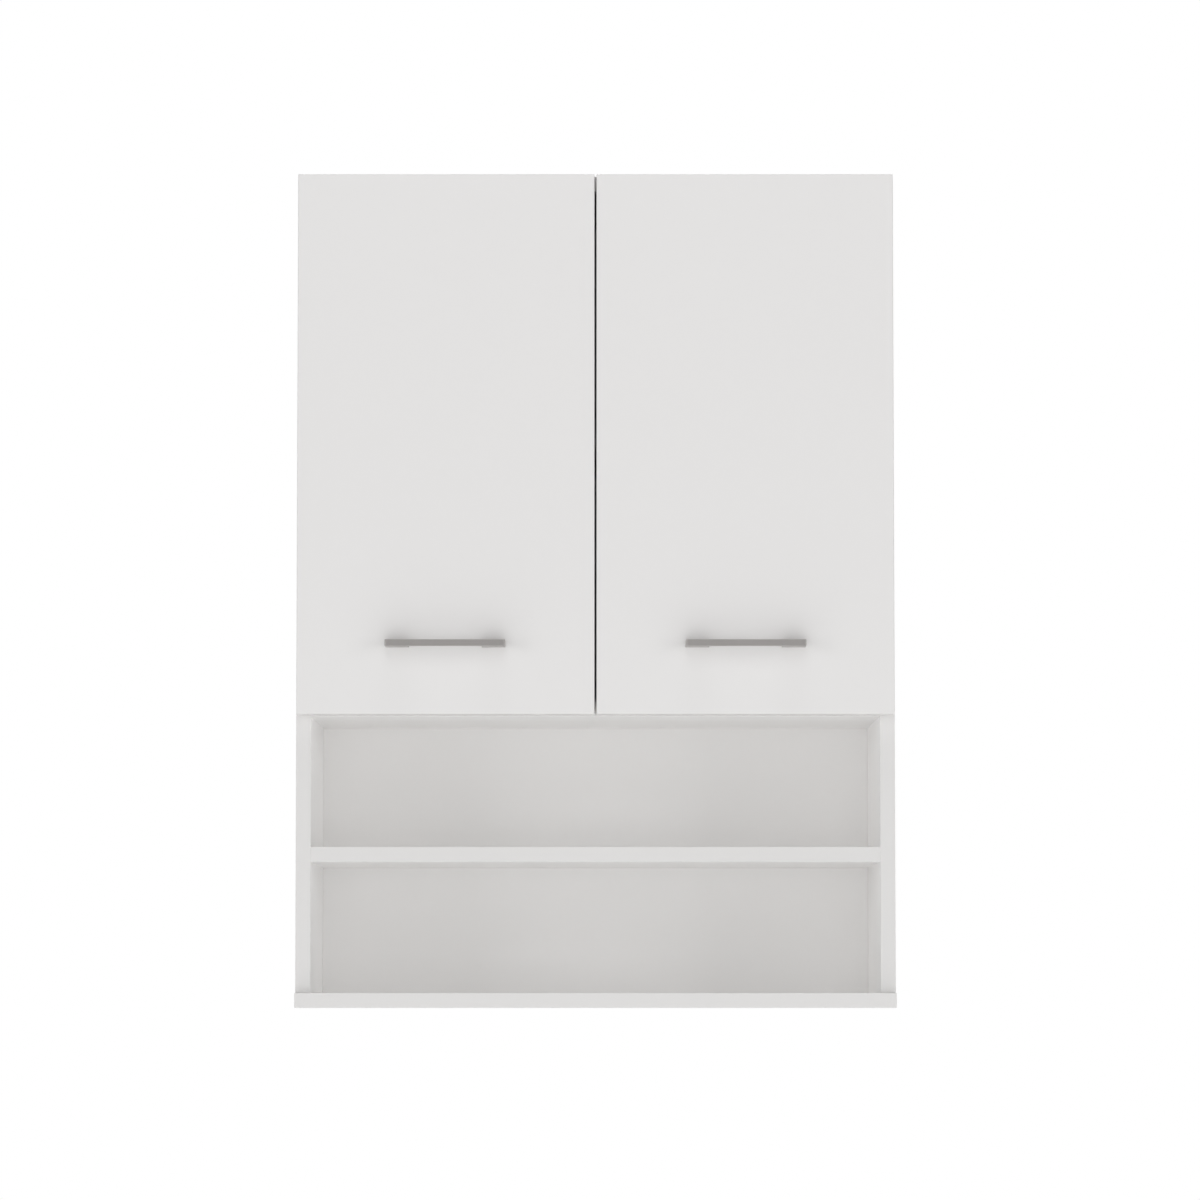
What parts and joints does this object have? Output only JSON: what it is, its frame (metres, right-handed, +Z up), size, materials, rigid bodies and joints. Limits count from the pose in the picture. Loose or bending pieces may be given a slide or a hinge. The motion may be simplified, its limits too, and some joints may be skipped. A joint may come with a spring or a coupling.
{
  "type": "hanging wall cabinet",
  "caption": "White wall cabinet with slab doors on concealed hinges, bar handles, an inner shelf and an open divided niche below.",
  "frame": {"origin": "on the wall plane, in the middle of the width, at the underside of the bottom panel", "axes": "+Z up, +Y into the wall, -Y out into the room, +X to the right of somebody facing the doors"},
  "size_m": [0.6, 0.308, 0.837],
  "materials": {
    "white_board": "white melamine on chipboard, fine satin grain",
    "door_board": "smooth white foil on chipboard, satin",
    "back_board": "white lacquered hardboard, brown rear face",
    "edge_band": "white edge band, satin",
    "cover_cap": "white plastic cap, satin",
    "satin_nickel": "satin nickel, fine lengthwise brushing",
    "nickel_steel": "nickel plated pressed steel",
    "screw_steel": "bright zinc plated steel",
    "zinc_plate": "bluish zinc plated steel",
    "cast_zinc": "raw cast zinc, dull",
    "hanger_plastic": "pale grey moulded plastic",
    "clear_bumper": "clear soft bumper",
    "beech": "fluted beech, raw"
  },
  "bodies": {
    "carcass": {"side_panel_left": "white_board", "side_panel_right": "white_board", "top_panel": "white_board", "cabinet_floor": "white_board", "niche_shelf": "white_board", "bottom_panel": "white_board", "back_panel": "back_board", "edge_band_side_left": "edge_band", "edge_band_side_right": "edge_band", "edge_band_top": "edge_band", "edge_band_floor": "edge_band", "edge_band_niche_shelf": "edge_band", "edge_band_bottom": "edge_band", "cam_locks": "cast_zinc", "cam_bolts": "screw_steel", "cam_cover_caps": "cover_cap", "wooden_dowels": "beech", "bottom_screws": "screw_steel", "bottom_screw_caps": "cover_cap", "back_panel_screws": "screw_steel", "hanger_left": "hanger_plastic", "hanger_right": "hanger_plastic", "hanger_hook_left": "zinc_plate", "hanger_hook_right": "zinc_plate", "hanger_screws": "screw_steel", "wall_plate_left": "zinc_plate", "wall_plate_right": "zinc_plate", "hinge_plates_left": "nickel_steel", "hinge_plates_right": "nickel_steel", "hinge_plate_screws": "screw_steel", "hinge_arms_left": "nickel_steel", "hinge_arms_right": "nickel_steel", "hinge_adjust_screws": "screw_steel", "shelf_pins": "screw_steel"},
    "shelf": {"inner_shelf": "white_board", "edge_band_inner_shelf": "edge_band"},
    "left_door": {"door_left": "door_board", "door_left_bands": "edge_band", "handle_left": "satin_nickel", "handle_screws_left": "zinc_plate", "hinge_cups_left": "nickel_steel", "hinge_cup_pins_left": "screw_steel", "hinge_cup_screws_left": "screw_steel", "door_bumpers_left": "clear_bumper"},
    "right_door": {"door_right": "door_board", "door_right_bands": "edge_band", "handle_right": "satin_nickel", "handle_screws_right": "zinc_plate", "hinge_cups_right": "nickel_steel", "hinge_cup_pins_right": "screw_steel", "hinge_cup_screws_right": "screw_steel", "door_bumpers_right": "clear_bumper"}
  },
  "joints": [
    {"name": "left_door_swing", "type": "hinge", "parent": "carcass", "child": "left_door", "pos_m": [-0.2932, -0.2743, 0], "axis": [0, 0, -1], "range_deg": [0, 95]},
    {"name": "right_door_swing", "type": "hinge", "parent": "carcass", "child": "right_door", "pos_m": [0.2932, -0.2743, 0], "axis": [0, 0, 1], "range_deg": [0, 95]},
    {"name": "inner_shelf_lift", "type": "slide", "parent": "carcass", "child": "shelf", "axis": [0, 0, 1], "range_m": [0, 0.12]}
  ]
}
